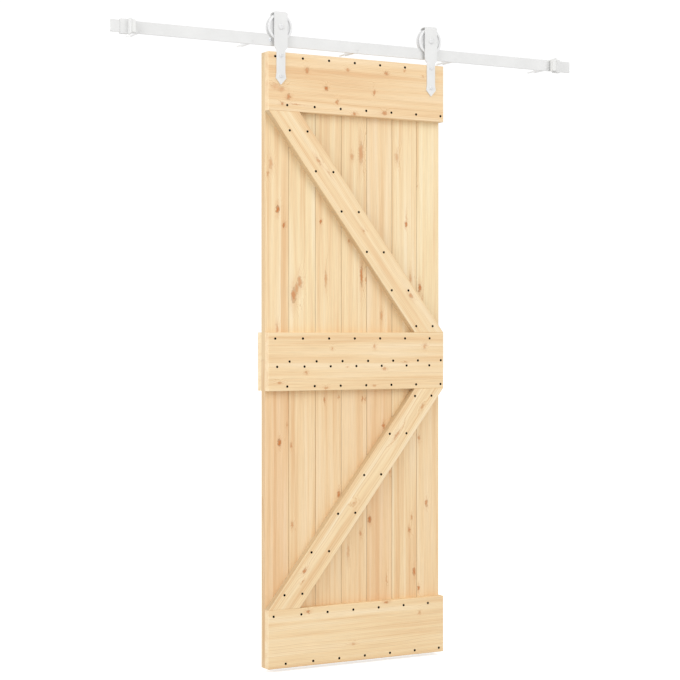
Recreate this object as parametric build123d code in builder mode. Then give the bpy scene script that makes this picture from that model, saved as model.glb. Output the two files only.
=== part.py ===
from build123d import *
import math
import os

# Sliding barn door: a pine leaf of seven tongued boards with three front rails, two braces and a
# rear rail, hung by two folded strap hangers from grooved wheels that roll on a flat steel track.
# Millimetres. X runs to the right, Y from the room to the wall and Z up. The origin is on the
# wall's face, on the axis of the middle wall screw, with the door closed over the track's middle.

# Track
track_length = 1830.0
track_height = 40.0
track_thickness = 6.0
wall_screw_count = 5
wall_screw_inset = 102.0        # track's end to the first wall screw
wall_screw_rise = 10.0          # screw line above the track's lower edge, clear of the wheels
wall_screw_grip = 50.0          # what goes into the wall
wall_screw_radius = 3.5
wall_thread_radius = 3.0
wall_screw_head_radius = 6.5
spacer_length = 76.0            # keeps the rear rail clear of the wall
spacer_radius = 7.5
hole_clearance = 0.2
round_sides = 12                # small repeated rounds are twelve-sided, to keep faces few

# End stops
left_stop_inset = 33.0          # track's end to the stop's outer edge
right_stop_inset = 47.0
stop_sheet = 4.0
stop_clip_length = 27.5
stop_lip_return = 5.0
stop_fit = 0.1
stop_flange_reach = 24.5        # how far the flange stands out from the track's face
stop_flange_height = 53.0
stop_flange_corner = 6.0
bumper_length = 14.0
bumper_depth = 20.0
bumper_height = 44.0
bumper_rounding = 3.5
bumper_inset = 1.0              # from the flange's front edge

# Wheels and axles
wheel_radius = 46.5
wheel_width = 23.4
groove_radius = 25.0
groove_side_gap = 0.3
dish_depth = 3.5
dish_radius = 38.0
wheel_side_gap = 0.8
rolling_gap = 0.3
axle_radius = 5.0
axle_running_gap = 0.05
axle_head_radius = 10.0
axle_head_height = 4.5
axle_socket_width = 6.0
axle_nut_width = 17.0
axle_nut_height = 8.0
bolt_end = 2.0

# Hangers
left_hanger_inset = 46.0        # door's edge to the hanger's centre line
right_hanger_inset = 54.0
hanger_sheet = 4.0
head_width = 50.4
head_chamfer = 6.0
crown_gap = 1.7                 # wheel's top to the underside of the fold
fold_inner_radius = 3.0
rear_leg_below_axle = 20.0
rear_leg_corner = 10.0
strap_width = 33.0
strap_below_top = 112.0         # door's top edge to the point of the strap
shoulder_above_top = 17.0
shoulder_height = 11.0
shoulder_rounding = 5.0
barb_width = 39.0
barb_rounding = 3.0
point_height = 22.0
barb_height = 20.0
strap_bolt_drops = (12.0, 82.5)  # below the door's top edge
strap_bolt_radius = 4.0
strap_bolt_head_radius = 6.5
strap_bolt_head_height = 3.8
strap_bolt_socket_width = 5.0
strap_nut_width = 13.0
strap_nut_height = 8.0
socket_share = 0.6              # of the head's height

# Door leaf
door_width = 700.0
door_height = 2100.0
door_drop = 20.0                # track's lower edge to the door's top edge
board_thickness = 27.0
board_count = 7
edge_board_cover = 92.0
boards_short_of_rails = 3.0     # at the door's right edge
board_gap = 0.6
board_end_gap = 0.6
board_arris = 0.8
tongue_length = 7.0
tongue_thickness = 8.0
tongue_clearance = 0.2
tongue_tip_gap = 0.5
rail_thickness = 28.0
rail_height = 200.0
middle_rail_drop = 5.0          # the rail's middle below the boards' meeting ends
rail_arris = 1.5
brace_width = 95.0

# Wood screws, one in each board. A row is its height above the rail's lower edge, the first
# screw's place along the door, the step to the second and the step to the last. All other steps
# are a board's face. The top row leaves out the board that the right strap covers.
screw_head_radius = 4.0
screw_root_radius = 1.9
screw_sides = 8
screw_proud = 0.25
screw_length = 50.0
long_screw_length = 75.0        # through the boards into the rear rail
top_rail_rows = ((184.1, 25.4, 106.0, 102.0), (20.5, 71.3, 106.0, 102.0))
middle_rail_rows = (
    (178.9, 25.6, 106.0, 102.0),
    (100.3, 80.3, 104.5, 96.0),
    (82.7, 33.0, 105.0, 94.3),
    (15.2, 71.5, 106.0, 102.0),
)
bottom_rail_rows = ((178.8, 19.6, 106.0, 101.0), (14.9, 65.7, 106.0, 101.0))
top_row_screw_count = 6

# Each brace has one pair of screws a board space. The step along the door is a board's cover and
# a little more or less, and each pair lies above or below the brace's middle line by its rise.
brace_pair_width = 68.5
upper_brace_first = 81.0
upper_brace_step_more = -1.6
upper_brace_rises = (7.0, 3.5, -0.1, -6.7, -8.3, -3.3)
lower_brace_first = 61.0
lower_brace_step_more = 1.4
lower_brace_rises = (3.9, 9.8, 3.6, -0.1, 7.7, 5.6)

# Places that follow from the sizes
track_bottom = -wall_screw_rise
track_top = track_bottom + track_height
track_back = -spacer_length
track_front = track_back - track_thickness
track_middle = (track_back + track_front) / 2
hanger_gap = wheel_width + 2 * wheel_side_gap
door_front = track_middle - hanger_gap / 2
strap_front = door_front - hanger_sheet
rear_leg_front = door_front + hanger_gap
rear_leg_back = rear_leg_front + hanger_sheet
boards_front = door_front + rail_thickness
boards_back = boards_front + board_thickness
board_cover = (door_width - boards_short_of_rails - 2 * edge_board_cover) / (board_count - 2)
door_left = -door_width / 2
door_top = track_bottom - door_drop
door_bottom = door_top - door_height
boards_middle = door_bottom + door_height / 2
axle_height = track_top + groove_radius + rolling_gap
crown_under = axle_height + wheel_radius + crown_gap
crown_top = crown_under + hanger_sheet
hangers = {
    "left": door_left + left_hanger_inset,
    "right": door_left + door_width - right_hanger_inset,
}
rail_bottoms = {
    "top": door_top - rail_height,
    "middle": boards_middle - middle_rail_drop - rail_height / 2,
    "bottom": door_bottom,
}
upper_bay = (rail_bottoms["middle"] + rail_height, rail_bottoms["top"])
lower_bay = (rail_bottoms["bottom"] + rail_height, rail_bottoms["middle"])
strap_bolt_places = [
    (x, door_top - drop) for x in hangers.values() for drop in strap_bolt_drops
]

os.makedirs("parts", exist_ok=True)


def front_plane(y):
    """Upright plane at depth y, seen from the room: its X is X and its Y is Z."""
    return Plane.XZ.offset(-y)


def end_plane(x):
    """Upright plane across the door at x: its X is Y and its Y is Z."""
    return Plane.YZ.offset(x)


def small_round(radius, mode=Mode.ADD):
    """Round outline of a small repeated piece or of its hole."""
    RegularPolygon(radius, round_sides, mode=mode)


def cone_depth(mouth, neck, sides):
    """Depth of a 90 degree countersink between two of its corner radii."""
    return (mouth - neck) * math.cos(math.pi / sides)


def keep(builder, name):
    """Labels a finished piece and writes it."""
    builder.part.label = name
    export_step(builder.part, f"parts/{name}.step")


# Track bar, with a countersunk hole for each wall screw
wall_screw_first = wall_screw_inset - track_length / 2
wall_screw_pitch = -2 * wall_screw_first / (wall_screw_count - 1)
wall_screw_places = [
    (wall_screw_first + i * wall_screw_pitch, 0) for i in range(wall_screw_count)
]
head_depth = cone_depth(wall_screw_head_radius, wall_screw_radius, round_sides)
with BuildPart() as track_bar:
    with BuildSketch(front_plane(track_front)):
        with Locations((0, track_bottom)):
            Rectangle(track_length, track_height, align=(Align.CENTER, Align.MIN))
    extrude(amount=-track_thickness)
    with BuildSketch(front_plane(track_front)):
        with Locations(*wall_screw_places):
            small_round(wall_screw_radius + hole_clearance)
    extrude(amount=-track_thickness, mode=Mode.SUBTRACT)
    with BuildSketch(front_plane(track_front)):
        with Locations(*wall_screw_places):
            small_round(wall_screw_head_radius + hole_clearance)
    extrude(amount=-head_depth, taper=45, mode=Mode.SUBTRACT)
keep(track_bar, "track_bar")

# Tubular spacers between the track and the wall
with BuildPart() as wall_spacers:
    with BuildSketch(front_plane(track_back)):
        with Locations(*wall_screw_places):
            small_round(spacer_radius)
            small_round(wall_screw_radius + hole_clearance, mode=Mode.SUBTRACT)
    extrude(amount=-spacer_length)
keep(wall_spacers, "wall_spacers")

# Wall screws: flush head, plain shank through the spacer, thread drawn at its mean radius
with BuildPart() as wall_screw:
    with BuildSketch(front_plane(track_front)):
        small_round(wall_screw_head_radius)
    extrude(amount=-head_depth, taper=45)
    with BuildSketch(front_plane(track_front + head_depth)):
        small_round(wall_screw_radius)
    extrude(amount=track_front + head_depth)
    with BuildSketch(front_plane(0)):
        Circle(wall_thread_radius)
    extrude(amount=-wall_screw_grip)

with BuildPart() as wall_screws:
    with Locations(*[(x, 0, z) for x, z in wall_screw_places]):
        add(wall_screw.part)
keep(wall_screws, "wall_screws")


# End stops: a folded clip over the track's end, with a flange that carries a rubber bumper
def stop_clip_section():
    """Clip's section: a C round the track, open at the back between two short returns."""
    inner_height = track_height + 2 * stop_fit
    inner_depth = track_thickness + 2 * stop_fit
    with Locations((track_middle, track_bottom + track_height / 2)):
        Rectangle(inner_depth + 2 * stop_sheet, inner_height + 2 * stop_sheet)
        Rectangle(inner_depth, inner_height, mode=Mode.SUBTRACT)
    with Locations((track_middle + inner_depth / 2, track_bottom + track_height / 2)):
        opening = inner_height - 2 * stop_lip_return
        Rectangle(stop_sheet, opening, align=(Align.MIN, Align.CENTER), mode=Mode.SUBTRACT)


stop_front = track_front - stop_fit - stop_sheet
flange_front = track_front - stop_flange_reach
bumper_middle_y = flange_front + bumper_inset + bumper_depth / 2
track_centre_z = track_bottom + track_height / 2
stops = {
    "left": (-track_length / 2 + left_stop_inset, 1),
    "right": (track_length / 2 - right_stop_inset, -1),
}
for side, (outer_edge, inward) in stops.items():
    clip_middle = outer_edge + inward * stop_clip_length / 2
    flange_outer = outer_edge + inward * stop_clip_length
    flange_inner = flange_outer + inward * stop_sheet

    with BuildPart() as stop:
        with BuildSketch(end_plane(clip_middle)):
            stop_clip_section()
        extrude(amount=stop_clip_length / 2, both=True)
        with BuildSketch(end_plane((flange_outer + flange_inner) / 2)):
            with Locations((flange_front, track_centre_z)):
                Rectangle(
                    track_front - stop_fit - flange_front,
                    stop_flange_height,
                    align=(Align.MIN, Align.CENTER),
                )
            fillet(vertices().group_by(Axis.X)[0], radius=stop_flange_corner)
        extrude(amount=stop_sheet / 2, both=True)
    keep(stop, f"{side}_stop")

    with BuildPart() as bumper:
        with BuildSketch(end_plane(flange_inner)):
            with Locations((bumper_middle_y, track_centre_z)):
                RectangleRounded(bumper_depth, bumper_height, bumper_rounding)
        extrude(amount=inward * bumper_length)
    keep(bumper, f"{side}_stop_bumper")


# Boards: tongue and groove, eased edges, an upper and a lower length for each of seven
def board_section(width, grooved, tongued):
    """Board's section in plan, from its left face edge, with its groove left and tongue right."""
    Rectangle(width, board_thickness, align=(Align.MIN, Align.MIN))
    chamfer(vertices(), length=board_arris)
    if grooved:
        depth = tongue_length - board_gap + tongue_tip_gap
        with Locations((0, board_thickness / 2)):
            Rectangle(
                depth,
                tongue_thickness + 2 * tongue_clearance,
                align=(Align.MIN, Align.CENTER),
                mode=Mode.SUBTRACT,
            )
    if tongued:
        with Locations((width, board_thickness / 2)):
            Rectangle(tongue_length, tongue_thickness, align=(Align.MIN, Align.CENTER))


board_left = door_left
for number in range(1, board_count + 1):
    at_edge = number in (1, board_count)
    cover = edge_board_cover if at_edge else board_cover
    width = cover if number == board_count else cover - board_gap
    lengths = {
        "lower": (door_bottom, boards_middle),
        "upper": (boards_middle + board_end_gap, door_top),
    }
    for half, (low, high) in lengths.items():
        with BuildPart() as board:
            with BuildSketch(Plane.XY.offset(low).move(Location((board_left, boards_front, 0)))):
                board_section(width, grooved=number > 1, tongued=number < board_count)
            extrude(amount=high - low)
            if half == "upper":
                with BuildSketch(front_plane(boards_front)):
                    with Locations(*strap_bolt_places):
                        small_round(strap_bolt_radius + hole_clearance)
                extrude(amount=-board_thickness, mode=Mode.SUBTRACT)
        keep(board, f"{half}_board_{number}")
    board_left += cover


# Rails across the front, and the one behind the boards that takes the long screws
for name, low in rail_bottoms.items():
    with BuildPart() as rail:
        with BuildSketch(front_plane(door_front)):
            with Locations((door_left, low)):
                Rectangle(door_width, rail_height, align=(Align.MIN, Align.MIN))
        extrude(amount=-rail_thickness)
        chamfer(rail.faces().sort_by(Axis.Y)[0].edges(), length=rail_arris)
        if name == "top":
            with BuildSketch(front_plane(door_front)):
                with Locations(*strap_bolt_places):
                    small_round(strap_bolt_radius + hole_clearance)
            extrude(amount=-rail_thickness, mode=Mode.SUBTRACT)
    keep(rail, f"{name}_rail")

with BuildPart() as rear_rail:
    with BuildSketch(front_plane(boards_back)):
        with Locations((door_left, rail_bottoms["middle"])):
            Rectangle(door_width, rail_height, align=(Align.MIN, Align.MIN))
    extrude(amount=-rail_thickness)
    chamfer(rear_rail.faces().sort_by(Axis.Y)[-1].edges(), length=rail_arris)
keep(rear_rail, "rear_rail")


# Braces: the upper one falls to the right and the lower one rises, their ends cut level
def brace_foot(bay_height):
    """Level length of a brace's end that gives the stated width square to the brace."""
    spread = math.sqrt(door_width**2 + bay_height**2 - brace_width**2)
    across = bay_height * spread - brace_width * door_width
    return brace_width * across / (bay_height**2 - brace_width**2)


def brace_corners(bay, rises):
    """Brace's four corners in front view, from one level end round to the other."""
    low, high = bay
    foot = brace_foot(high - low)
    start = low if rises else high
    end = high if rises else low
    return [
        (door_left, start),
        (door_left + foot, start),
        (door_left + door_width, end),
        (door_left + door_width - foot, end),
    ]


for name, bay, rises in (("upper", upper_bay, False), ("lower", lower_bay, True)):
    with BuildPart() as brace:
        with BuildSketch(front_plane(door_front)):
            with BuildLine():
                Polyline(*brace_corners(bay, rises), close=True)
            make_face()
        extrude(amount=-rail_thickness)
        chamfer(brace.faces().sort_by(Axis.Y)[0].edges(), length=rail_arris)
    keep(brace, f"{name}_brace")


# Wood screws
def row_places(low, rows, first_row_count=board_count):
    """Front-view places of the screws in a rail's rows."""
    places = []
    count = first_row_count
    for height, first, second_step, last_step in rows:
        steps = [first, second_step] + [board_cover - board_gap] * (count - 3) + [last_step]
        count = board_count
        along = door_left
        for step in steps:
            along += step
            places.append((along, door_front, low + height))
    return places


def pair_places(bay, rises_right, first, step_more, rises):
    """Front-view places of the screw pairs in a brace."""
    low, high = bay
    foot = brace_foot(high - low)
    slope = (high - low) / (door_width - foot)
    places = []
    for i, rise in enumerate(rises):
        left = first + i * (board_cover + step_more)
        run = left + brace_pair_width / 2 - foot / 2
        middle_line = low + run * slope if rises_right else high - run * slope
        for along in (left, left + brace_pair_width):
            places.append((door_left + along, door_front, middle_line + rise))
    return places


screw_groups = {
    "top_rail_screws": (
        screw_length,
        row_places(rail_bottoms["top"], top_rail_rows, top_row_screw_count),
    ),
    "middle_rail_screws": (
        long_screw_length,
        row_places(rail_bottoms["middle"], middle_rail_rows),
    ),
    "bottom_rail_screws": (
        screw_length,
        row_places(rail_bottoms["bottom"], bottom_rail_rows),
    ),
    "upper_brace_screws": (
        screw_length,
        pair_places(
            upper_bay, False, upper_brace_first, upper_brace_step_more, upper_brace_rises
        ),
    ),
    "lower_brace_screws": (
        screw_length,
        pair_places(
            lower_bay, True, lower_brace_first, lower_brace_step_more, lower_brace_rises
        ),
    ),
}
# Each has a flat countersunk head, a hair proud of the wood, and a root that tapers to a point
screw_head_depth = cone_depth(screw_head_radius, screw_root_radius, screw_sides)
for name, (length, places) in screw_groups.items():
    with BuildPart() as wood_screw:
        with BuildSketch(front_plane(-screw_proud)):
            RegularPolygon(screw_head_radius, screw_sides)
        extrude(amount=-screw_head_depth, taper=45)
        with BuildSketch(front_plane(screw_head_depth - screw_proud)) as root:
            RegularPolygon(screw_root_radius, screw_sides)
        loft([root.sketch.face(), Vertex(0, length, 0)])

    with BuildPart() as wood_screws:
        with Locations(*places):
            add(wood_screw.part)
    keep(wood_screws, name)


# Hangers: one plate folded over the wheel, its long front leg the strap on the door's face
def hanger_side_section():
    """Hanger's section along the door: long front leg, fold and short rear leg."""
    low = door_top - strap_below_top
    with Locations((strap_front, low)):
        Rectangle(rear_leg_back - strap_front, crown_top - low, align=(Align.MIN, Align.MIN))
    fillet(vertices().group_by(Axis.Y)[-1], radius=fold_inner_radius + hanger_sheet)
    with BuildSketch(mode=Mode.PRIVATE) as fold_space:
        with Locations((door_front, low)):
            Rectangle(hanger_gap, crown_under - low, align=(Align.MIN, Align.MIN))
        fillet(vertices().group_by(Axis.Y)[-1], radius=fold_inner_radius)
    add(fold_space.sketch, mode=Mode.SUBTRACT)
    with Locations((rear_leg_front, low)):
        leg_end = axle_height - rear_leg_below_axle
        Rectangle(hanger_sheet, leg_end - low, align=(Align.MIN, Align.MIN), mode=Mode.SUBTRACT)


def hanger_front_outline(x):
    """Hanger's outline in front view: chamfered head, shoulders, strap, barb and point."""
    point = door_top - strap_below_top
    barb = point + point_height
    neck = door_top + shoulder_above_top - shoulder_height
    half = [
        (0, crown_top),
        (head_width / 2 - head_chamfer, crown_top),
        (head_width / 2, crown_top - head_chamfer),
        (head_width / 2, door_top + shoulder_above_top),
        (strap_width / 2, neck),
        (strap_width / 2, barb + barb_height),
        (barb_width / 2, barb),
        (0, point),
    ]
    right = [(x + across, up) for across, up in half]
    left = [(x - across, up) for across, up in reversed(half[1:-1])]
    Polyline(*right, *left, close=True)


for side, x in hangers.items():
    with BuildPart() as hanger:
        with BuildSketch(end_plane(x)):
            hanger_side_section()
        extrude(amount=head_width / 2, both=True)
        with BuildSketch(front_plane(strap_front)):
            with BuildLine():
                hanger_front_outline(x)
            make_face()
            corners = vertices().group_by(Axis.Y)
            fillet(corners[1], radius=barb_rounding)
            corners = vertices().group_by(Axis.Y)
            fillet(corners[-3] + corners[-4], radius=shoulder_rounding)
        extrude(amount=strap_front - rear_leg_back, mode=Mode.INTERSECT)
        with BuildSketch(front_plane(strap_front)):
            with Locations(*[(x, door_top - drop) for drop in strap_bolt_drops]):
                small_round(strap_bolt_radius + hole_clearance)
            with Locations((x, axle_height)):
                Circle(axle_radius + hole_clearance)
        extrude(amount=strap_front - rear_leg_back, mode=Mode.SUBTRACT)
        rear_corners = (
            hanger.edges()
            .filter_by(Axis.Y)
            .filter_by_position(Axis.Y, rear_leg_front, rear_leg_back)
            .group_by(Axis.Z)[0]
        )
        fillet(rear_corners, radius=rear_leg_corner)
    keep(hanger, f"{side}_hanger")


# Wheels: a groove that straddles the track, a dish in each face and a bore that runs on the axle
def wheel_outline():
    """Wheel's half outline: radius across, width up, from the bore out to the rim and back."""
    half_width = wheel_width / 2
    groove_half = track_thickness / 2 + groove_side_gap
    upper = [
        (axle_radius + axle_running_gap, half_width - dish_depth),
        (dish_radius, half_width - dish_depth),
        (dish_radius, half_width),
        (wheel_radius, half_width),
        (wheel_radius, groove_half),
        (groove_radius, groove_half),
    ]
    lower = [(radius, -across) for radius, across in reversed(upper)]
    Polyline(*upper, *lower, close=True)


for side, x in hangers.items():
    with BuildPart() as wheel:
        with BuildSketch(Plane((x, track_middle, axle_height))):
            with BuildLine():
                wheel_outline()
            make_face()
        revolve(axis=Axis((x, track_middle, axle_height), (0, 1, 0)))
    keep(wheel, f"{side}_wheel")

# Axle bolts, whose round shanks carry the wheels
axle_places = [(x, axle_height) for x in hangers.values()]
with BuildPart() as axle_bolts:
    with BuildSketch(front_plane(strap_front)):
        with Locations(*axle_places):
            Circle(axle_head_radius)
    extrude(amount=axle_head_height)
    with BuildSketch(front_plane(strap_front)):
        with Locations(*axle_places):
            Circle(axle_radius)
    extrude(amount=strap_front - rear_leg_back - axle_nut_height - bolt_end)
    with BuildSketch(front_plane(strap_front - axle_head_height)):
        with Locations(*axle_places):
            RegularPolygon(axle_socket_width / 2, 6, major_radius=False)
    extrude(amount=-axle_head_height * socket_share, mode=Mode.SUBTRACT)
keep(axle_bolts, "axle_bolts")

with BuildPart() as axle_nuts:
    with BuildSketch(front_plane(rear_leg_back)):
        with Locations(*axle_places):
            RegularPolygon(axle_nut_width / 2, 6, major_radius=False)
            Circle(axle_radius, mode=Mode.SUBTRACT)
    extrude(amount=-axle_nut_height)
keep(axle_nuts, "axle_nuts")

# Strap bolts through the top rail and the boards, with nuts behind
with BuildPart() as strap_bolts:
    with BuildSketch(front_plane(strap_front)):
        with Locations(*strap_bolt_places):
            small_round(strap_bolt_head_radius)
    extrude(amount=strap_bolt_head_height)
    with BuildSketch(front_plane(strap_front)):
        with Locations(*strap_bolt_places):
            small_round(strap_bolt_radius)
    extrude(amount=strap_front - boards_back - strap_nut_height - bolt_end)
    with BuildSketch(front_plane(strap_front - strap_bolt_head_height)):
        with Locations(*strap_bolt_places):
            RegularPolygon(strap_bolt_socket_width / 2, 6, major_radius=False)
    extrude(amount=-strap_bolt_head_height * socket_share, mode=Mode.SUBTRACT)
keep(strap_bolts, "strap_bolts")

with BuildPart() as strap_nuts:
    with BuildSketch(front_plane(boards_back)):
        with Locations(*strap_bolt_places):
            RegularPolygon(strap_nut_width / 2, 6, major_radius=False)
            small_round(strap_bolt_radius, mode=Mode.SUBTRACT)
    extrude(amount=-strap_nut_height)
keep(strap_nuts, "strap_nuts")
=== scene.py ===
import math

import bpy
import numpy as np
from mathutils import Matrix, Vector


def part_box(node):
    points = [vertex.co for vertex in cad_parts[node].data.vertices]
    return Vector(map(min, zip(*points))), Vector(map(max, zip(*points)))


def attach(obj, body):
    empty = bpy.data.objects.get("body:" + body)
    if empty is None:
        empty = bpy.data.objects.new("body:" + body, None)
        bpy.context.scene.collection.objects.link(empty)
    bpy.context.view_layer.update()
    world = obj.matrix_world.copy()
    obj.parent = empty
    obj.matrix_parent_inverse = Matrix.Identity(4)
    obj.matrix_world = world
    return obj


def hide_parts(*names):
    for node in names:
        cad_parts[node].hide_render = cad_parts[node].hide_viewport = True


# Looks of a pine sliding barn door on its white track. Everything is in metres in the CAD frame:
# X along the track to the right, Y from the room into the wall, Z up, the origin on the wall.

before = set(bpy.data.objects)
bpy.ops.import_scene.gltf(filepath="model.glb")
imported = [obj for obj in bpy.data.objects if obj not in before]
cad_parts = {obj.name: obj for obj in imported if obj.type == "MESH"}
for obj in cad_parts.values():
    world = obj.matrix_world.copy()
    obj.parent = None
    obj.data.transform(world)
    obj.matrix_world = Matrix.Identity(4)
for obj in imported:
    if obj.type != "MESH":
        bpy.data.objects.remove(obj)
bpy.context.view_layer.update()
MM = 0.001

# The leaf's lower left corner in the CAD frame, which the knots are measured from
DOOR_LEFT, _, DOOR_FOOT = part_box("bottom_rail")[0]


def linear(code):
    """Linear colour of an sRGB hex code."""
    parts = [int(code[i:i + 2], 16) / 255 for i in (1, 3, 5)]
    return [v / 12.92 if v <= 0.04045 else ((v + 0.055) / 1.055) ** 2.4 for v in parts] + [1.0]


def add(tree, kind, inputs=None, output=0, stops=(), **settings):
    """Adds a shader node, fills its inputs with values or sockets, and gives one of its outputs.

    stops are a colour ramp's (place, hex colour) pairs. Where inputs go by number: a Map Range has
    the range it reads at 1 and 2 and the range it gives at 3 and 4, and a Mix has its factor at 0,
    its two colours at 6 and 7, and their blend at output 2.
    """
    node = tree.nodes.new("ShaderNode" + kind)
    for name, value in settings.items():
        setattr(node, name, value)
    for key, value in (inputs or {}).items():
        if isinstance(value, bpy.types.NodeSocket):
            tree.links.new(value, node.inputs[key])
        else:
            node.inputs[key].default_value = value
    while stops and len(node.color_ramp.elements) < len(stops):
        node.color_ramp.elements.new(0.5)
    for number, (place, code) in enumerate(stops):
        node.color_ramp.elements[number].position = place
        node.color_ramp.elements[number].color = linear(code)
    return node.outputs[output]


def group_tree(name, inputs, outputs):
    """A node group with its input and output nodes, for a pattern that many materials share."""
    tree = bpy.data.node_groups.new(name, "ShaderNodeTree")
    for label, kind in inputs:
        tree.interface.new_socket(label, in_out="INPUT", socket_type="NodeSocket" + kind)
    for label, kind in outputs:
        tree.interface.new_socket(label, in_out="OUTPUT", socket_type="NodeSocket" + kind)
    return tree, tree.nodes.new("NodeGroupInput").outputs, tree.nodes.new("NodeGroupOutput").inputs


def material(name, **constants):
    """A principled material with its constant values set on the shader's own sockets."""
    made = bpy.data.materials.new(name)
    made.use_nodes = True
    shader = made.node_tree.nodes["Principled BSDF"]
    for key, value in constants.items():
        shader.inputs[key.replace("_", " ")].default_value = value
    return made.node_tree, shader


# Pine. A board is cut from a log: year rings are shells round a pith line behind or before the
# board, so a flat-cut face shows long arches and an end shows arcs. A knot is a branch that the
# shells bulge round. All lengths inside the groups are millimetres along the board's own grain.
def knot_group():
    """One knot: pushes the rings aside, and hands on how strongly each of its bands shows.

    Near is the distance from the knot's middle over its half sizes, so 1 is the knot's edge. The
    core and the halo fade outwards, and the rim is a line at the edge. Where knots meet, the
    stronger one shows.
    """
    tree, given, out = group_tree(
        "knot",
        [("Place", "Vector"), ("Centre", "Vector"), ("Size", "Vector"), ("Depth", "Float"),
         ("Push", "Float"), ("Lift", "Float"), ("Core", "Float"), ("Rim", "Float"), ("Halo", "Float")],
        [("Lift", "Float"), ("Core", "Float"), ("Rim", "Float"), ("Halo", "Float")],
    )
    offset = add(tree, "VectorMath", {0: given["Place"], 1: given["Centre"]}, operation="SUBTRACT")
    scaled = add(tree, "VectorMath", {0: offset, 1: given["Size"]}, operation="MULTIPLY")
    near = add(tree, "VectorMath", {0: scaled}, output="Value", operation="LENGTH")
    stretched = add(tree, "VectorMath", {0: scaled, 1: (0.42, 0.0, 0.26)}, operation="MULTIPLY")
    around = add(tree, "VectorMath", {0: stretched}, output="Value", operation="LENGTH")
    swell = add(
        tree, "MapRange", {"Value": near, 1: 0.4, 2: 5.0, 3: 1.0, 4: 0.0}, interpolation_type="SMOOTHERSTEP"
    )
    lift = add(tree, "Math", {0: swell, 1: given["Push"], 2: given["Lift"]}, operation="MULTIPLY_ADD")
    tree.links.new(lift, out["Lift"])
    ring = add(tree, "Math", {0: near, 1: 1.0}, operation="SUBTRACT")
    ring = add(tree, "Math", {0: ring}, operation="ABSOLUTE")
    bands = (("Core", near, 0.45, 1.25), ("Halo", around, 0.2, 1.0), ("Rim", ring, 0.0, 0.4))
    for label, value, full, gone in bands:
        fading = {"Value": value, 1: full, 2: gone, 3: 1.0, 4: 0.0}
        band = add(tree, "MapRange", fading, interpolation_type="SMOOTHSTEP")
        strength = add(tree, "Math", {0: band, 1: given["Depth"]}, operation="MULTIPLY")
        tree.links.new(add(tree, "Math", {0: strength, 1: given[label]}, operation="MAXIMUM"), out[label])
    return tree


KNOT = knot_group()
RING_PITCH = 5.2
LATE_WOOD = "#cf9f69"
KNOT_HALO = "#d8a878"
KNOT_RED, KNOT_TAN = "#b05f28", "#d08745"
BARK = "#855026"
# Pale tone of the painted light on end faces
END_PAINTED_LIGHT = "#f6e0bd"
# Grey-brown of the painted shade on long edges
SHADED_EDGE_BROWN = "#a88f6c"


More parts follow.
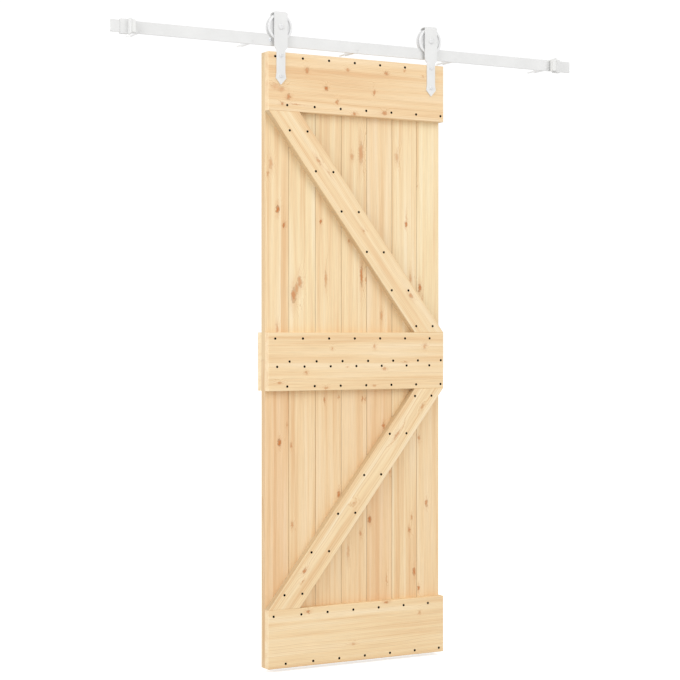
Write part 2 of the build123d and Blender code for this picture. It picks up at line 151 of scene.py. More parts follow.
def pine_group():
    """Pine's colour, height and roughness from a place in millimetres along the grain."""
    tree, given, out = group_tree(
        "pine",
        [("Place", "Vector"), ("Pith", "Vector"), ("Seed", "Float"), ("Tone", "Float"), ("Strips", "Float"),
         ("End", "Float"), ("Side", "Float"),
         ("Lift", "Float"), ("Core", "Float"), ("Rim", "Float"), ("Halo", "Float")],
        [("Colour", "Color"), ("Height", "Float"), ("Roughness", "Float")],
    )
    # Glued strips: each has its own log and its own tone
    parts = add(tree, "SeparateXYZ", {0: given["Place"]}).node.outputs
    strip = add(tree, "Math", {0: parts["X"], 1: given["Strips"], 2: given["Seed"]}, operation="MULTIPLY_ADD")
    strip = add(tree, "Math", {0: strip}, operation="FLOOR")
    strip_seed = add(tree, "Math", {0: given["Seed"], 1: 7.31, 2: strip}, operation="MULTIPLY_ADD")
    strip_tone = add(tree, "TexWhiteNoise", {"W": strip_seed}, noise_dimensions="1D")
    strip_shift = add(tree, "TexWhiteNoise", {"W": strip_seed}, output="Color", noise_dimensions="1D")
    shift = add(tree, "VectorMath", {0: strip_shift, 1: (90.0, 50.0, 900.0)}, operation="MULTIPLY")
    place = add(tree, "VectorMath", {0: given["Place"], 1: shift}, operation="ADD")
    # Slow wander of the pith along the board, about 14 mm over half a metre
    slow = add(tree, "VectorMath", {0: place, 1: (0.006, 0.006, 0.0016)}, operation="MULTIPLY")
    wander = add(tree, "TexNoise", {"Vector": slow, "Scale": 1.0, "Detail": 2.0}, output="Color")
    wander = add(tree, "VectorMath", {0: wander, 1: (-0.5, -0.5, -0.5)}, operation="ADD")
    wander = add(tree, "VectorMath", {0: wander, 1: (38.0, 30.0, 0.0)}, operation="MULTIPLY")
    from_pith = add(tree, "VectorMath", {0: place, 1: given["Pith"]}, operation="ADD")
    from_pith = add(tree, "VectorMath", {0: from_pith, 1: wander}, operation="ADD")
    across = add(tree, "VectorMath", {0: from_pith, 1: (1.0, 1.0, 0.0)}, operation="MULTIPLY")
    radius = add(tree, "VectorMath", {0: across}, output="Value", operation="LENGTH")
    # Lively ring edges: a finer wobble of about 1 mm
    quick = add(tree, "VectorMath", {0: place, 1: (0.05, 0.05, 0.006)}, operation="MULTIPLY")
    wobble = add(tree, "TexNoise", {"Vector": quick, "Scale": 1.0, "Detail": 3.0})
    radius = add(tree, "Math", {0: wobble, 1: 3.0, 2: radius}, operation="MULTIPLY_ADD")
    radius = add(tree, "Math", {0: radius, 1: given["Lift"]}, operation="ADD")
    # Through a year the wood darkens slowly and ends sharply, and some years are fainter than others
    years = add(tree, "Math", {0: radius, 1: RING_PITCH}, operation="DIVIDE")
    season = add(tree, "Math", {0: years}, operation="FRACT")
    growth = [(0.0, "#404040"), (0.06, "#000000"), (0.55, "#181818"), (0.92, "#ffffff"), (1.0, "#404040")]
    late = add(tree, "ValToRGB", {"Fac": season}, stops=growth)
    year = add(tree, "Math", {0: years}, operation="FLOOR")
    vigour = add(tree, "TexWhiteNoise", {"W": year}, noise_dimensions="1D")
    vigour = add(tree, "Math", {0: vigour, 1: 2.2}, operation="POWER")
    vigour = add(tree, "MapRange", {"Value": vigour, 1: 0.0, 2: 1.0, 3: 0.25, 4: 1.0})
    late = add(tree, "Math", {0: late, 1: vigour}, operation="MULTIPLY")
    # Fibres about 0.7 mm apart and 60 mm long, and broad pale and warm streaks
    fine = add(tree, "VectorMath", {0: place, 1: (1.4, 1.4, 0.018)}, operation="MULTIPLY")
    fibre = add(tree, "TexNoise", {"Vector": fine, "Scale": 1.0, "Detail": 3.0, "Roughness": 0.6})
    wide = add(tree, "VectorMath", {0: place, 1: (0.045, 0.045, 0.0014)}, operation="MULTIPLY")
    streak = add(tree, "TexNoise", {"Vector": wide, "Scale": 1.0, "Detail": 3.0})
    streaks = [(0.3, "#f6e2be"), (0.5, "#f1d7ab"), (0.72, "#e6c192")]
    body = add(tree, "ValToRGB", {"Fac": streak}, stops=streaks)
    # The piece's tone and its strip's, as powers on red, green and blue: a darker one is yellower
    strip_tone = add(tree, "MapRange", {"Value": strip_tone, 1: 0.0, 2: 1.0, 3: -0.5, 4: 0.5})
    tone = add(tree, "Math", {0: strip_tone, 1: 0.28, 2: given["Tone"]}, operation="MULTIPLY_ADD")
    tone = add(tree, "Math", {0: tone, 1: 0.16, 2: 1.0}, operation="MULTIPLY_ADD")
    tint = add(tree, "CombineColor").node
    for i, power in enumerate((0.45, 1.25, 1.7)):
        tree.links.new(add(tree, "Math", {0: tone, 1: power}, operation="POWER"), tint.inputs[i])
    colour = add(
        tree, "Mix", {0: 1.0, 6: body, 7: tint.outputs[0]}, output=2, data_type="RGBA", blend_type="MULTIPLY"
    )
    near_knot = add(tree, "Math", {0: given["Halo"], 1: 0.3, 2: 0.62}, operation="MULTIPLY_ADD")
    line = add(tree, "Math", {0: late, 1: near_knot}, operation="MULTIPLY")
    colour = add(tree, "Mix", {0: line, 6: colour, 7: linear(LATE_WOOD)}, output=2, data_type="RGBA")
    thread = add(tree, "MapRange", {"Value": fibre, 1: 0.25, 2: 0.75, 3: 0.88, 4: 1.07})
    colour = add(
        tree, "Mix", {0: 1.0, 6: colour, 7: thread}, output=2, data_type="RGBA", blend_type="MULTIPLY"
    )
    # Knots: soft tan halo, redder core with its own close rings, dark bark line round the deep ones
    patchy = add(tree, "MapRange", {"Value": wobble, 1: 0.3, 2: 0.7, 3: 0.45, 4: 1.1})
    halo = add(tree, "Math", {0: given["Halo"], 1: patchy}, operation="MULTIPLY")
    halo = add(tree, "Math", {0: halo, 1: 0.7}, operation="MULTIPLY")
    colour = add(tree, "Mix", {0: halo, 6: colour, 7: linear(KNOT_HALO)}, output=2, data_type="RGBA")
    core_rings = add(tree, "Math", {0: years, 1: 6.0}, operation="MULTIPLY")
    core_rings = add(tree, "Math", {0: core_rings, 1: 1.0}, operation="PINGPONG")
    core_colour = add(tree, "ValToRGB", {"Fac": core_rings}, stops=[(0.0, KNOT_RED), (1.0, KNOT_TAN)])
    core = add(tree, "Math", {0: given["Core"], 1: 1.3}, operation="POWER")
    blotch = add(tree, "MapRange", {"Value": fibre, 1: 0.35, 2: 0.6, 3: 0.8, 4: 1.2})
    core = add(tree, "Math", {0: core, 1: blotch}, operation="MULTIPLY")
    colour = add(tree, "Mix", {0: core, 6: colour, 7: core_colour}, output=2, data_type="RGBA")
    rim = add(tree, "Math", {0: given["Rim"], 1: 2.0}, operation="POWER")
    rim = add(tree, "Math", {0: rim, 1: 0.55}, operation="MULTIPLY")
    colour = add(tree, "Mix", {0: rim, 6: colour, 7: linear(BARK)}, output=2, data_type="RGBA")
    # Painted light on end faces, mixed towards a pale tone, and painted shade on the long edges of braces and
    # boards, mixed towards a grey-brown
    end = add(tree, "Math", {0: given["End"], 1: 0.3}, operation="MULTIPLY")
    colour = add(tree, "Mix", {0: end, 6: colour, 7: linear(END_PAINTED_LIGHT)}, output=2, data_type="RGBA")
    # Painted shade: long edges mixed towards a grey-brown
    side = given["Side"]
    colour = add(tree, "Mix", {0: side, 6: colour, 7: linear(SHADED_EDGE_BROWN)}, output=2, data_type="RGBA")
    tree.links.new(colour, out["Colour"])
    height = add(tree, "Math", {0: late, 1: 0.5, 2: fibre}, operation="MULTIPLY_ADD")
    tree.links.new(height, out["Height"])
    tree.links.new(add(tree, "MapRange", {"Value": fibre, 1: 0.3, 2: 0.7, 3: 0.5, 4: 0.66}), out["Roughness"])
    return tree


PINE = pine_group()


def pine(name, lean, tone, seed, strips, side, knots):
    """Planed and fine-sanded pine: pale face, soft tan year rings, brown knots.

    lean turns the grain from upright, in radians about Y. strips is how many glued strips a
    millimetre holds. side is how much painted shade browns the long edges. knots are (across, up, half
    width, half length along the grain, depth) on the door's front, in millimetres from its lower
    left, and depth is from 0 to 1.
    """
    tree, shader = material(name, IOR=1.45)
    spot = add(tree, "TexCoord", output="Object")
    spot = add(tree, "VectorMath", {0: spot, 1: (-DOOR_LEFT, 0.0, -DOOR_FOOT)}, operation="ADD")
    spot = add(tree, "VectorMath", {0: spot, 1: (1000.0, 1000.0, 1000.0)}, operation="MULTIPLY")
    spot = add(tree, "VectorRotate", {"Vector": spot, "Angle": -lean}, rotation_type="Y_AXIS")
    # Knots have uneven outlines, frayed more along the grain than across
    rough = add(tree, "TexNoise", {"Vector": spot, "Scale": 0.12, "Detail": 3.0}, output="Color")
    rough = add(tree, "VectorMath", {0: rough, 1: (-0.5, -0.5, -0.5)}, operation="ADD")
    frayed = add(tree, "VectorMath", {0: rough, 1: (12.0, 12.0, 26.0)}, operation="MULTIPLY")
    frayed = add(tree, "VectorMath", {0: spot, 1: frayed}, operation="ADD")
    so_far = {"Lift": 0.0, "Core": 0.0, "Rim": 0.0, "Halo": 0.0}
    for across, up, half_width, half_length, depth in knots:
        middle = (
            across * math.cos(lean) - up * math.sin(lean),
            0.0,
            across * math.sin(lean) + up * math.cos(lean),
        )
        size = (1 / half_width, 0.0, 1 / half_length)
        # Rings are pushed aside by 0.8 to 2.4 half widths, most round a deep knot
        push = 1.6 * half_width * (0.5 + depth)
        spread = {"Place": frayed, "Centre": middle, "Size": size, "Depth": depth, "Push": push}
        knot = add(tree, "Group", spread | so_far, node_tree=KNOT).node
        so_far = {label: knot.outputs[label] for label in so_far}
    # Which way a face looks, turned with the grain: along it at an end, across it at a long edge
    facing = add(tree, "TexCoord", output="Normal")
    facing = add(tree, "VectorRotate", {"Vector": facing, "Angle": -lean}, rotation_type="Y_AXIS")
    facing = add(tree, "VectorMath", {0: facing}, operation="ABSOLUTE")
    facing = add(tree, "SeparateXYZ", {0: facing}).node.outputs
    # Masks by facing: end faces for painted light, long edges for painted shade
    end = add(tree, "MapRange", {"Value": facing["Z"], 1: 0.6, 2: 0.8, 3: 0.0, 4: 1.0})
    edge = add(tree, "MapRange", {"Value": facing["X"], 1: 0.5, 2: 0.8, 3: 0.0, 4: side})
    pith = (37.0 * math.sin(seed * 5.1), 70.0 + 40.0 * math.sin(seed * 3.7), 0.0)
    log = {"Place": spot, "Pith": pith, "Seed": seed, "Tone": tone, "Strips": strips}
    faces = {"End": end, "Side": edge}
    grain = add(tree, "Group", log | faces | so_far, node_tree=PINE).node.outputs
    tree.links.new(grain["Colour"], shader.inputs["Base Color"])
    tree.links.new(grain["Roughness"], shader.inputs["Roughness"])
    relief = add(tree, "Bump", {"Height": grain["Height"], "Strength": 0.35, "Distance": 0.15 * MM})
    tree.links.new(relief, shader.inputs["Normal"])
    return bpy.data.materials[name]


BRACE_WIDTH = 95.0 * MM


def brace_lean(node, rises):
    """Angle from upright of a brace, about Y, from its box: it rises to the right, or falls.

    The box is as wide as the brace's level end plus its run, and the end is as wide as the brace's
    own width over the cosine of the angle.
    """
    low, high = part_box(node)
    width, height = high[0] - low[0], high[2] - low[2]
    spread = math.sqrt(width**2 + height**2 - BRACE_WIDTH**2)
    end = BRACE_WIDTH * (height * spread - BRACE_WIDTH * width) / (height**2 - BRACE_WIDTH**2)
    return math.atan2(width - end, height) * (1 if rises else -1)


# Ways the grain runs, in radians from upright about Y
UPRIGHT, LEVEL = 0.0, math.pi / 2
FALLING, RISING = brace_lean("upper_brace", False), brace_lean("lower_brace", True)

# Each piece of wood: the way of its grain, its tone (below 0 dark, above 0 pale), and its knots
WOOD = {
    "top_rail": (LEVEL, -0.28, [
        (147, 2045, 10, 5, 0.7), (307, 2059, 6, 5, 0.6), (463, 2057, 6, 6, 0.75), (614, 2058, 5, 5, 0.45),
        (222, 1988, 7, 5, 0.95), (413, 1985, 10, 3, 0.7), (266, 1944, 8, 4, 0.7), (76, 1950, 9, 7, 0.75),
        (53, 1924, 5, 6, 0.75), (455, 1917, 6, 8, 0.75), (335, 1907, 5, 6, 0.75), (538, 2074, 6, 2.5, 0.6),
        (50, 1974, 9, 12, 0.45), (26, 1982, 11, 15, 0.35), (105, 1925, 1.3, 26, 0.6),
    ]),
    "middle_rail": (LEVEL, -0.05, [
        (40, 973, 4, 8, 0.6), (222, 953, 4, 7, 0.6), (413, 959, 3, 5, 0.5), (247, 1088, 6, 4, 0.5),
        (416, 1096, 9, 4, 0.5), (622, 1096, 10, 5, 0.5), (144, 1007, 6, 4, 0.65), (457, 1017, 6, 5, 0.55),
        (539, 1040, 3, 7, 0.6), (306, 1025, 3, 4, 0.45),
    ]),
    "bottom_rail": (LEVEL, 0.05, [
        (464, 194, 5, 8, 0.75), (152, 185, 5, 8, 0.75), (330, 60, 4, 9, 0.45), (601, 147, 7, 4, 0.5),
    ]),
    "rear_rail": (LEVEL, 0.0, [(180, 1010, 5, 9, 0.7), (520, 1090, 5, 9, 0.5)]),
    "upper_brace": (FALLING, -0.05, [
        (191, 1737, 5, 14, 0.6), (233, 1695, 3, 12, 0.4), (370, 1500, 4, 6, 0.6), (563, 1275, 6, 11, 0.7),
    ]),
    "lower_brace": (RISING, -0.12, [
        (610, 881, 4, 8, 0.6), (507, 785, 4, 18, 0.6), (333, 550, 5, 7, 0.55), (138, 327, 5, 8, 0.8),
        (131, 290, 3, 6, 0.65),
    ]),
    "upper_board_1": (UPRIGHT, -0.1, [
        (49, 1566, 6, 12, 1.0), (71, 1513, 4, 7, 0.85), (22, 1722, 7, 16, 0.5), (11, 1689, 4, 9, 0.6),
        (47, 1158, 5, 13, 0.5),
    ]),
    "upper_board_2": (UPRIGHT, 0.35, [
        (134, 1318, 8, 20, 0.65), (122, 1296, 7, 17, 0.6), (110, 1272, 9, 24, 0.75),
    ]),
    "upper_board_3": (UPRIGHT, 0.05, [(216, 1529, 4, 6, 0.95), (236, 1332, 5, 24, 0.55)]),
    "upper_board_4": (UPRIGHT, 0.15, [
        (341, 1762, 6, 10, 0.5), (376, 1775, 8, 34, 0.62), (327, 1467, 4, 7, 0.55), (378, 1344, 5, 32, 0.85),
        (397, 1329, 4, 12, 0.6),
    ]),
    "upper_board_5": (UPRIGHT, -0.2, [(459, 1203, 6, 14, 0.55)]),
    "upper_board_6": (UPRIGHT, 0.08, [
        (521, 1767, 7, 16, 0.45), (561, 1530, 4, 7, 0.85), (562, 1552, 3, 16, 0.35), (579, 1338, 5, 18, 0.5),
    ]),
    "upper_board_7": (UPRIGHT, 0.36, [
        (617, 1305, 6, 13, 0.9), (627, 1263, 3, 16, 0.45), (607, 1669, 4, 6, 0.4),
    ]),
    "lower_board_1": (UPRIGHT, -0.75, [(55, 767, 6, 10, 1.0), (84, 827, 3, 7, 0.5)]),
    "lower_board_2": (UPRIGHT, -0.25, [(100, 755, 4, 8, 0.7), (104, 483, 5, 9, 0.6)]),
    "lower_board_3": (UPRIGHT, -0.42, [(231, 909, 4, 8, 0.75), (287, 920, 4, 6, 0.5), (287, 582, 5, 9, 0.8)]),
    "lower_board_4": (UPRIGHT, -0.45, [
        (381, 914, 3, 7, 0.8), (393, 911, 3, 7, 0.7), (374, 437, 5, 9, 0.65), (324, 378, 4, 24, 0.45),
    ]),
    "lower_board_5": (UPRIGHT, -0.75, [
        (467, 815, 5, 10, 0.75), (492, 658, 4, 9, 0.5), (411, 487, 6, 10, 1.0), (480, 271, 2, 22, 0.5),
    ]),
    "lower_board_6": (UPRIGHT, -0.2, [
        (592, 801, 4, 9, 0.85), (574, 440, 5, 9, 0.75), (583, 485, 4, 8, 0.6), (594, 290, 6, 14, 0.85),
    ]),
    "lower_board_7": (UPRIGHT, -0.35, [
        (614, 766, 4, 8, 0.6), (645, 533, 5, 10, 0.75), (612, 231, 4, 9, 0.85),
    ]),
}
# Boards are glued from strips. Rails and braces are one strip, here ten metres wide.
BOARD_STRIPS, ONE_STRIP = 1 / 51.3, 0.0001
# How much painted shade browns the long edges: on a brace, on the leaf's two outer boards, and in
# the grooves between the other boards. Rails' edges are as pale as their faces.
BRACE_EDGE_SHADE, OUTER_EDGE_SHADE, GROOVE_EDGE_SHADE = 0.5, 0.22, 0.65
for number, (node, (lean, tone, knots)) in enumerate(WOOD.items()):
    strips, side = ONE_STRIP, 0.0
    if "brace" in node:
        side = BRACE_EDGE_SHADE
    if "board" in node:
        strips = BOARD_STRIPS
        side = OUTER_EDGE_SHADE if node[-1] in "17" else GROOVE_EDGE_SHADE
    wood = pine(f"pine planed {node}", lean, tone, 1.37 * number + 0.6, strips, side, knots)
    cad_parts[node].data.materials.clear()
    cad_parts[node].data.materials.append(wood)


def powder_coat(name, tones, roughness):
    """White polyester powder coat on steel: bright and even, satin, with a faint orange peel."""
    tree, shader = material(name, IOR=1.5)
    spot = add(tree, "TexCoord", output="Object")
    # Peel about 1.2 mm across, and a broad tone change too weak to see as a pattern
    peel = add(tree, "TexNoise", {"Vector": spot, "Scale": 800.0, "Detail": 1.0})
    drift = add(tree, "TexNoise", {"Vector": spot, "Scale": 12.0, "Detail": 2.0})
    tone = add(tree, "ValToRGB", {"Fac": drift}, stops=[(0.3, tones[0]), (0.7, tones[1])])
    tree.links.new(tone, shader.inputs["Base Color"])
    shine = add(tree, "MapRange", {"Value": peel, 1: 0.2, 2: 0.8, 3: roughness - 0.04, 4: roughness + 0.06})
    tree.links.new(shine, shader.inputs["Roughness"])
    relief = add(tree, "Bump", {"Height": peel, "Strength": 0.12, "Distance": 0.1 * MM})
    tree.links.new(relief, shader.inputs["Normal"])
    return bpy.data.materials[name]


# One white coat on plates, bolts, wheels and spacers, each with its own sheen; the wheels and spacers are
# painted lighter, painted light that lifts the shade round the hangers and behind the bar
COATED = powder_coat("powder coated steel white", ("#e1e1e0", "#dcdcdb"), 0.42)
COATED_BOLT = powder_coat("powder coated bolt white", ("#e1e1e1", "#dcdcdc"), 0.6)
# The wheels' lighter tone is painted light, lifting the shade between wheel and strap
COATED_WHEEL_LIT = powder_coat("powder coated wheel white painted light", ("#e8e8e8", "#e3e3e3"), 0.36)
COATED_PAINTED_LIGHT = powder_coat("powder coated spacer white painted light", ("#fafafa", "#f5f5f5"), 0.5)


def plain_finish(name, tones, scale, roughness, strength, **constants):
    """Finish with two close tones in soft patches, matching roughness and a fine grain.

    scale is patches a metre: 400 makes them 2.5 mm across, and 900 about 1.1 mm. The real grain is
    finer and is drawn this coarse to show.
    """
    tree, shader = material(name, **constants)
    spot = add(tree, "TexCoord", output="Object")
    grain = add(tree, "TexNoise", {"Vector": spot, "Scale": scale, "Detail": 3.0})
    tone = add(tree, "ValToRGB", {"Fac": grain}, stops=[(0.3, tones[0]), (0.7, tones[1])])
    tree.links.new(tone, shader.inputs["Base Color"])
    shine = add(tree, "MapRange", {"Value": grain, 1: 0.25, 2: 0.75, 3: roughness[0], 4: roughness[1]})
    tree.links.new(shine, shader.inputs["Roughness"])
    relief = add(tree, "Bump", {"Height": grain, "Strength": strength, "Distance": 0.1 * MM})
    tree.links.new(relief, shader.inputs["Normal"])
    return bpy.data.materials[name]


# Moulded off-white rubber: dull, soft sheen. Phosphated steel: near black, dry. Zinc: bluish, bright.
RUBBER = plain_finish("rubber moulded white", ("#e8e8e6", "#e1e1df"), 400.0, (0.6, 0.75), 0.1, IOR=1.52)
BLACK = plain_finish(
    "steel phosphated black", ("#050403", "#0a0806"), 900.0, (0.7, 0.85), 0.15,
    IOR=1.3, Specular_IOR_Level=0.1,
)
ZINC = plain_finish("steel zinc plated", ("#c9ccd0", "#b9bdc3"), 500.0, (0.22, 0.4), 0.08, Metallic=1.0)


def mesh_piece(name, points, faces, finish, body, slot, smooth_angle, *nodes):
    """Puts points and faces into a finished piece that stands for its CAD nodes, if it has any.

    Edges sharper than smooth_angle, in degrees, stay sharp.
    """
    mesh = bpy.data.meshes.new(name)
    mesh.from_pydata(points, [], faces)
    mesh.validate()
    mesh.materials.append(finish)
    mesh.shade_smooth()
    mesh.set_sharp_from_angle(angle=math.radians(smooth_angle))
    piece = bpy.data.objects.new(name, mesh)
    bpy.context.scene.collection.objects.link(piece)
    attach(piece, body)
    if nodes:
        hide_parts(*nodes)
    return piece


def turned(rings, segments, looped=False):
    """Surface about the Y axis from rings of (radius, depth), or (radius, depth, cut, half width).

    A point is (r sin a, y, r cos a), where a goes round and r is the ring's radius, or at most the
    half width over cos(a from the nearest flat's middle) for a hex cut, or at most the half width
    over the smaller of |sin a| and |cos a| for a cross cut. Rings run from the front, or from the
    bottom of a recess, over the rim to the back. The two ends close on a point each, or looped, on
    each other round a bore. Gives the points, and the faces as arrays of indices.
    """
    angle = np.arange(segments) * 2 * np.pi / segments
    rows = []
    for radius, depth, *cut in rings:
        reach = np.full(segments, float(radius))
        if cut and cut[0] == "hex":
            reach = np.minimum(reach, cut[1] / np.cos((angle + np.pi / 6) % (np.pi / 3) - np.pi / 6))
        if cut and cut[0] == "cross":
            smaller = np.minimum(abs(np.sin(angle)), abs(np.cos(angle)))
            reach = np.minimum(reach, cut[1] / np.maximum(smaller, 0.01))
        rows.append(np.stack([reach * np.sin(angle), np.full(segments, depth), reach * np.cos(angle)], 1))
    points = np.concatenate(rows) * MM
    around = np.arange(segments)
    after = (around + 1) % segments
    row = np.arange(len(rings) if looped else len(rings) - 1)[:, None] * segments
    next_row = (row + segments) % (len(rings) * segments)
    quads = np.stack([row + around, row + after, next_row + after, next_row + around], -1)
    faces = [quads.reshape(-1, 4)]
    if not looped:
        ends = np.array([[0, rings[0][1], 0], [0, rings[-1][1], 0]]) * MM
        first, last = len(points), len(points) + 1
        back_row = (len(rings) - 1) * segments
        faces.append(np.stack([np.full(segments, first), after, around], 1))
        faces.append(np.stack([np.full(segments, last), back_row + around, back_row + after], 1))
        points = np.concatenate([points, ends])
    return points, faces


def repeated(shape, places, turns=None):
    """A turned shape's points and faces at each place, each turned about Y by its own angle."""
    points, faces = shape
    if turns is None:
        turns = [0.0] * len(places)
    copies, indices = [], []
    for number, (place, turn) in enumerate(zip(places, turns)):
        c, s = math.cos(turn), math.sin(turn)
        copies.append(points @ np.array([[c, 0, -s], [0, 1, 0], [s, 0, c]]).T + np.array(place))
        for block in faces:
            indices += (block + number * len(points)).tolist()
    return np.concatenate(copies), indices


def node_points(node):
    """A CAD node's vertices as an array."""
    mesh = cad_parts[node].data
    flat = np.zeros(len(mesh.vertices) * 3, np.float32)
    mesh.vertices.foreach_get("co", flat)
    return flat.reshape(-1, 3).astype(float)


# Wider than any screw or bolt head, and less than the way from one to the next
HEAD_REACH = 21 * MM


def screw_places(node):
    """Middles of a group's screws: their front faces are the foremost points, in clusters."""
    points = node_points(node)
    front = points[:, 1].min()
    left = points[points[:, 1] < front + 0.01 * MM]
    places = []
    while len(left):
        near = np.linalg.norm(left[:, [0, 2]] - left[0, [0, 2]], axis=1) < HEAD_REACH
        middle = (left[near].min(0) + left[near].max(0)) / 2
        places.append((middle[0], front, middle[2]))
        left = left[~near]
    return places


# Black wood screws: a flat round head a hair proud, a cross recess, a cone and a tapering shank
def screw_shape(length):
    """A wood screw, turned from the floor of a shallow cross recess, over the rim to the point.

    The rail under the head is solid, so the recess ends a hair above the rail's face.
    """
    rings = [
        (0.3, 0.18), (1.1, 0.18, "cross", 0.42), (2.1, 0.18, "cross", 0.45), (2.4, 0.02, "cross", 0.48),
        (3.0, 0.0), (3.8, 0.0), (4.2, 0.06), (4.3, 0.22), (1.9, 2.3), (1.5, 0.6 * length),
        (0.3, length - 0.5),
    ]
    return turned(rings, 32)


noise = np.random.default_rng(11)
WOOD_SCREW_LENGTHS = {
    "top_rail_screws": 50, "middle_rail_screws": 75, "bottom_rail_screws": 50,
    "upper_brace_screws": 50, "lower_brace_screws": 50,
}
for group, length in WOOD_SCREW_LENGTHS.items():
    places = screw_places(group)
    shape = repeated(screw_shape(length), places, noise.uniform(0, math.pi / 2, len(places)))
    mesh_piece(f"{group}_black", *shape, BLACK, "door", "black_screw_steel", 40, group)


# Radius past a socket's corners, so that the hexagon alone gives the ring its outline
PAST_CORNERS = 9.0


def button_head(head, height, shank, length, socket):
    """A low domed socket head and its shank, turned from the socket's floor to the chamfered end.

    The dome runs from a flat round the socket to the head's rim as a quarter turn: out by the sine
    and back by 0.8 of the height times (1 - cosine).
    """
    floor = 0.8 - height
    flat = socket * 1.22
    rings = [
        (socket * 0.5, floor), (PAST_CORNERS, floor, "hex", socket * 0.98),
        (PAST_CORNERS, 0.1 - height, "hex", socket), (flat, -height),
    ]
    for share in np.linspace(0.12, 1.0, 7):
        turn = share * np.pi / 2
        rings.append((flat + (head - flat) * np.sin(turn), -height + height * 0.8 * (1 - np.cos(turn))))
    rings += [(head, -0.15), (head - 0.15, 0.0), (shank, 0.0), (shank, length - 0.8), (shank - 0.8, length)]
    return turned(rings, 48)


def hex_nut(half_width, bore, height):
    """A nut: a hexagon cut by a 30 degree cone at both faces, with a chamfered bore."""
    corner = half_width / math.cos(math.pi / 6)
    face = half_width * 0.97
    bevel = (corner - face) * math.tan(math.pi / 6)
    rings = [
        (bore, 0.5), (bore + 0.5, 0.0), (face, 0.0), (corner, bevel, "hex", half_width),
        (corner, height - bevel, "hex", half_width), (face, height), (bore + 0.5, height),
        (bore, height - 0.5),
    ]
    return turned(rings, 48, looped=True)


# Hanger bolts end 10 mm behind the face that their nuts press on
STRAP_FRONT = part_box("left_hanger")[0][1] / MM
REAR_LEG_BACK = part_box("left_hanger")[1][1] / MM
BOARDS_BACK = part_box("upper_board_4")[1][1] / MM
BOLT_END = 10.0
strap_bolt_places = [(x, STRAP_FRONT * MM, z) for x, y, z in screw_places("strap_bolts")]
axle_places = [(x, STRAP_FRONT * MM, z) for x, y, z in screw_places("axle_bolts")]
strap_bolt = button_head(6.5, 3.8, 3.9, BOARDS_BACK + BOLT_END - STRAP_FRONT, 2.5)
axle_bolt = button_head(10.0, 4.5, 4.9, REAR_LEG_BACK + BOLT_END - STRAP_FRONT, 3.0)
strap_bolts = repeated(strap_bolt, strap_bolt_places)
axle_bolts = repeated(axle_bolt, axle_places)
mesh_piece("strap_bolts_coated", *strap_bolts, COATED_BOLT, "door", "white_bolt_coat", 35, "strap_bolts")
mesh_piece("axle_bolts_coated", *axle_bolts, COATED_BOLT, "door", "white_bolt_coat", 35, "axle_bolts")
strap_nut_places = [(x, BOARDS_BACK * MM, z) for x, y, z in strap_bolt_places]
axle_nut_places = [(x, REAR_LEG_BACK * MM, z) for x, y, z in axle_places]
strap_nut_turns = noise.uniform(0, math.pi / 3, len(strap_nut_places))
strap_nuts = repeated(hex_nut(6.5, 4.0, 8.0), strap_nut_places, strap_nut_turns)
axle_nuts = repeated(hex_nut(8.5, 5.0, 8.0), axle_nut_places, [0.3, 0.1])
mesh_piece("strap_nuts_zinc", *strap_nuts, ZINC, "door", "zinc_steel", 25, "strap_nuts")
mesh_piece("axle_nuts_coated", *axle_nuts, COATED_BOLT, "door", "white_bolt_coat", 25, "axle_nuts")

# Wheels: turned steel, dished faces, rounded rims, and a groove whose mouth flares to find the
# track. The profile is the front half, from the bore over the rim to the groove's floor.
WHEEL_PROFILE = [
    (5.05, -8.0), (5.25, -8.2), (34.5, -8.2), (36.2, -8.6), (37.2, -9.6), (37.8, -10.8), (38.6, -11.5),
    (39.6, -11.7), (44.9, -11.7), (45.9, -11.3), (46.4, -10.4), (46.5, -9.4), (46.5, -7.2), (46.2, -6.5),
    (45.6, -6.0), (41.0, -4.4), (38.0, -3.6), (36.0, -3.3), (26.0, -3.3), (25.2, -3.0), (25.0, -2.3),
]
rear_half = [(radius, -depth) for radius, depth in reversed(WHEEL_PROFILE)]
wheel_shape = turned(WHEEL_PROFILE + rear_half, 144, looped=True)
for wheel in ("left_wheel", "right_wheel"):
    low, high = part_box(wheel)
    middle = [(low[i] + high[i]) / 2 for i in range(3)]
    placed = repeated(wheel_shape, [middle])
    mesh_piece(f"{wheel}_coated", *placed, COATED_WHEEL_LIT, wheel, "white_wheel_coat", 28, wheel)

# Wall screws: flush head with a hex socket, and a thread where the wall would be
TRACK_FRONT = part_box("track_bar")[0][1] / MM
IN_WALL = 50.0
THREAD_PITCH = 2.6
THREAD_STEP = THREAD_PITCH / 10
THREAD_SEGMENTS = 24


def thread_points(root, crest):
    """Points of a wood thread that starts at the wall, ten rings to a pitch.

    The radius is root + (crest - root) * (1 - 3 |2u - 1|), not less than root, where u is the
    fraction of (depth / pitch + turn). The ridge grows over the first 2 mm, and ridge and root
    shrink to the point over the last 8 mm.
    """
    depth = np.arange(0.0, IN_WALL, THREAD_STEP)[:, None]
    turn = np.arange(THREAD_SEGMENTS)[None, :] / THREAD_SEGMENTS
    u = (depth / THREAD_PITCH + turn) % 1.0
    ridge = np.clip(1 - abs(2 * u - 1) * 3, 0, 1)
    to_point = (IN_WALL - depth) / 8.0
    fade = np.clip(to_point, 0.05, 1) * np.clip(depth / 2.0, 0, 1)
    radius = root * np.clip(to_point, 0.08, 1) + (crest - root) * ridge * fade
    angle = turn * 2 * np.pi
    points = np.stack([radius * np.sin(angle), depth + 0 * angle, radius * np.cos(angle)], -1)
    return points.reshape(-1, 3)


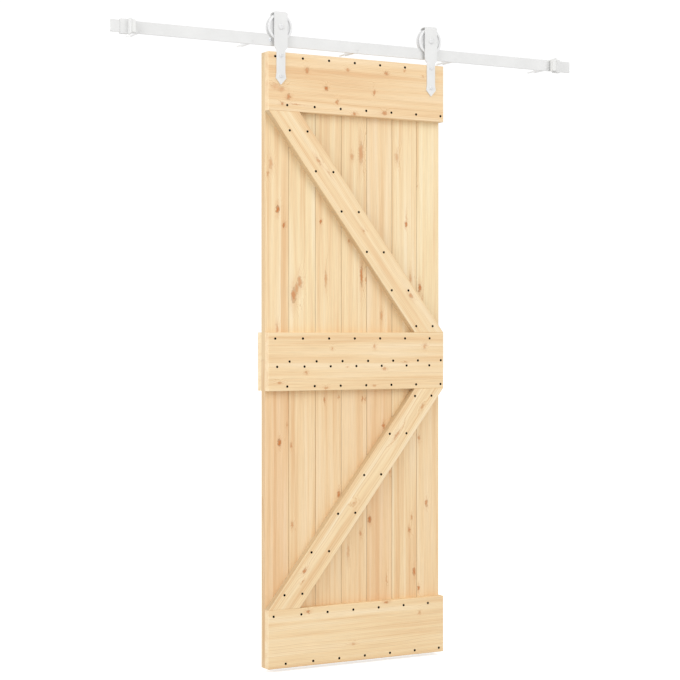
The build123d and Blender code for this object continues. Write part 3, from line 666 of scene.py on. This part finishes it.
def wall_screw_shape():
    """A turned head and shank whose last rings are swapped for the threaded ones."""
    rings = [
        (1.5, 0.8), (PAST_CORNERS, 0.8, "hex", 2.45), (PAST_CORNERS, 0.1, "hex", 2.5),
        (3.2, 0.0), (6.1, 0.0), (6.35, 0.15), (3.4, 3.05), (3.4, -TRACK_FRONT),
    ]
    thread = thread_points(2.5, 3.4) + [0, -TRACK_FRONT, 0]
    steps = len(thread) // THREAD_SEGMENTS
    plain = [(1.0, -TRACK_FRONT + THREAD_STEP * i) for i in range(steps)]
    points, faces = turned(rings + plain, THREAD_SEGMENTS)
    start = len(rings) * THREAD_SEGMENTS
    points[start:start + len(thread)] = thread * MM
    return points, faces


wall_screw_places = [(x, TRACK_FRONT * MM, z) for x, y, z in screw_places("wall_screws")]
placed = repeated(wall_screw_shape(), wall_screw_places)
wall_screws = mesh_piece("wall_screws_coated", *placed, COATED, "track", "white_bolt_coat", 40, "wall_screws")
# Behind the bar the screws take the spacers' lighter coat, painted light that lifts the shade there
BEHIND_BAR = -70 * MM
wall_screws.data.materials.append(COATED_PAINTED_LIGHT)
depths = np.array([face.center.y for face in wall_screws.data.polygons])
wall_screws.data.polygons.foreach_set("material_index", (depths > BEHIND_BAR).astype(np.int32))
SPACER_LENGTH = 76.0
spacer = turned([
    (3.7, 0.4), (4.1, 0.0), (7.0, 0.0), (7.5, 0.5),
    (7.5, SPACER_LENGTH - 0.5), (7.0, SPACER_LENGTH), (4.1, SPACER_LENGTH), (3.7, SPACER_LENGTH - 0.4),
], 48, looped=True)
placed = repeated(spacer, [(x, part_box("wall_spacers")[0][1], z) for x, y, z in wall_screw_places])
# The spacers' lighter coat is painted light against the shade behind the bar
mesh_piece("wall_spacers_coated", *placed, COATED_PAINTED_LIGHT, "track", "white_powder_coat", 35, "wall_spacers")

# Beside the left hanger a short zinc screw, set flush in the bar on its middle line
SPARE_SCREW_X = -338.0
bar_low, bar_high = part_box("track_bar")
spare = turned([
    (1.2, 1.9), (PAST_CORNERS, 1.9, "hex", 2.3), (PAST_CORNERS, 0.1, "hex", 2.5),
    (3.2, -0.12), (5.9, -0.12), (6.3, 0.1), (3.3, 3.1), (3.3, 5.4),
], 48)
placed = repeated(spare, [(SPARE_SCREW_X * MM, bar_low[1], (bar_low[2] + bar_high[2]) / 2)])
mesh_piece("track_spare_screw", *placed, ZINC, "track", "zinc_steel", 30)


def soften(node, finish, width, segments=2):
    """Rounds a CAD node's edges by a small real radius, in millimetres, and gives it its finish."""
    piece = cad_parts[node]
    if finish:
        piece.data.materials.clear()
        piece.data.materials.append(finish)
    weld = piece.modifiers.new("weld", "WELD")
    weld.merge_threshold = 0.01 * MM
    flat = piece.modifiers.new("flat", "DECIMATE")
    flat.decimate_type = "DISSOLVE"
    flat.angle_limit = math.radians(1.0)
    edge = piece.modifiers.new("edge", "BEVEL")
    edge.width = width * MM
    edge.segments = segments
    edge.limit_method = "ANGLE"
    edge.angle_limit = math.radians(28)
    edge.harden_normals = True


for node in ("left_hanger", "right_hanger", "track_bar", "left_stop", "right_stop"):
    soften(node, COATED, 0.7)
for node in ("left_stop_bumper", "right_stop_bumper"):
    soften(node, RUBBER, 1.2, 3)
for node in WOOD:
    soften(node, None, 0.35)

# Pale studio floor just under the leaf, wide enough for every view. It glows to the camera only.
FLOOR_REACH, FLOOR_GAP, FLOOR_GLOW = 40.0, 0.012, 0.62
floor = bpy.data.objects.new("studio_floor", bpy.data.meshes.new("studio_floor"))
corners = np.array([(-1, -1, 0), (1, -1, 0), (1, 1, 0), (-1, 1, 0)]) * FLOOR_REACH
corners[:, 2] = DOOR_FOOT - FLOOR_GAP
floor.data.from_pydata(corners, [], [(0, 1, 2, 3)])
bpy.context.scene.collection.objects.link(floor)
paper, paper_shader = material(
    "paper backdrop matt white",
    Base_Color=linear("#dcdcdc"), Roughness=0.95, Emission_Color=linear("#ffffff"),
)
seen = add(paper, "LightPath", output="Is Camera Ray")
glow = add(paper, "Math", {0: seen, 1: FLOOR_GLOW}, operation="MULTIPLY")
paper.links.new(glow, paper_shader.inputs["Emission Strength"])
floor.data.materials.append(bpy.data.materials["paper backdrop matt white"])


def softbox(name, place, aim, size, power):
    """Square area light at a place, turned to its aim."""
    light = bpy.data.lights.new(name, "AREA")
    light.size = size
    light.energy = power
    lamp = bpy.data.objects.new(name, light)
    lamp.location = place
    way = (np.array(aim) - np.array(place)).tolist()
    lamp.rotation_euler = Vector(way).to_track_quat("-Z", "Y").to_euler()
    bpy.context.scene.collection.objects.link(lamp)


# The main light comes from the front right and above, and a weaker one from the left
softbox("key", place=(3.4, -6.6, 3.4), aim=(0, 0, -1.3), size=5.0, power=190.0)
softbox("fill", place=(-5.0, -1.4, 0.6), aim=(0, 0, -1.0), size=3.0, power=95.0)

# White surroundings, pure white where the camera sees them and a little dimmer as a light
WORLD_LIGHT, WORLD_SEEN = 0.86, 1.06
world = bpy.data.worlds.new("studio")
world.use_nodes = True
world_tree = world.node_tree
seen = add(world_tree, "LightPath", output="Is Camera Ray")
glow = add(world_tree, "MapRange", {"Value": seen, 1: 0.0, 2: 1.0, 3: WORLD_LIGHT, 4: WORLD_SEEN})
world_tree.nodes["Background"].inputs["Color"].default_value = linear("#ffffff")
world_tree.links.new(glow, world_tree.nodes["Background"].inputs["Strength"])
bpy.context.scene.world = world
bpy.context.scene.view_settings.view_transform = "Standard"

# Camera at the photograph's place: level, turned 28.73 degrees, with a small downward shift
lens = bpy.data.cameras.new("camera")
lens.lens = 89.52
lens.sensor_width = 36.0
lens.shift_y = -0.00988
lens.clip_end = 60.0
camera = bpy.data.objects.new("camera", lens)
camera.location = (-2.894, -5.237, -0.988)
camera.rotation_euler = (math.radians(90), 0, math.radians(-28.73))
bpy.context.scene.collection.objects.link(camera)
bpy.context.scene.camera = camera

bpy.context.view_layer.update()
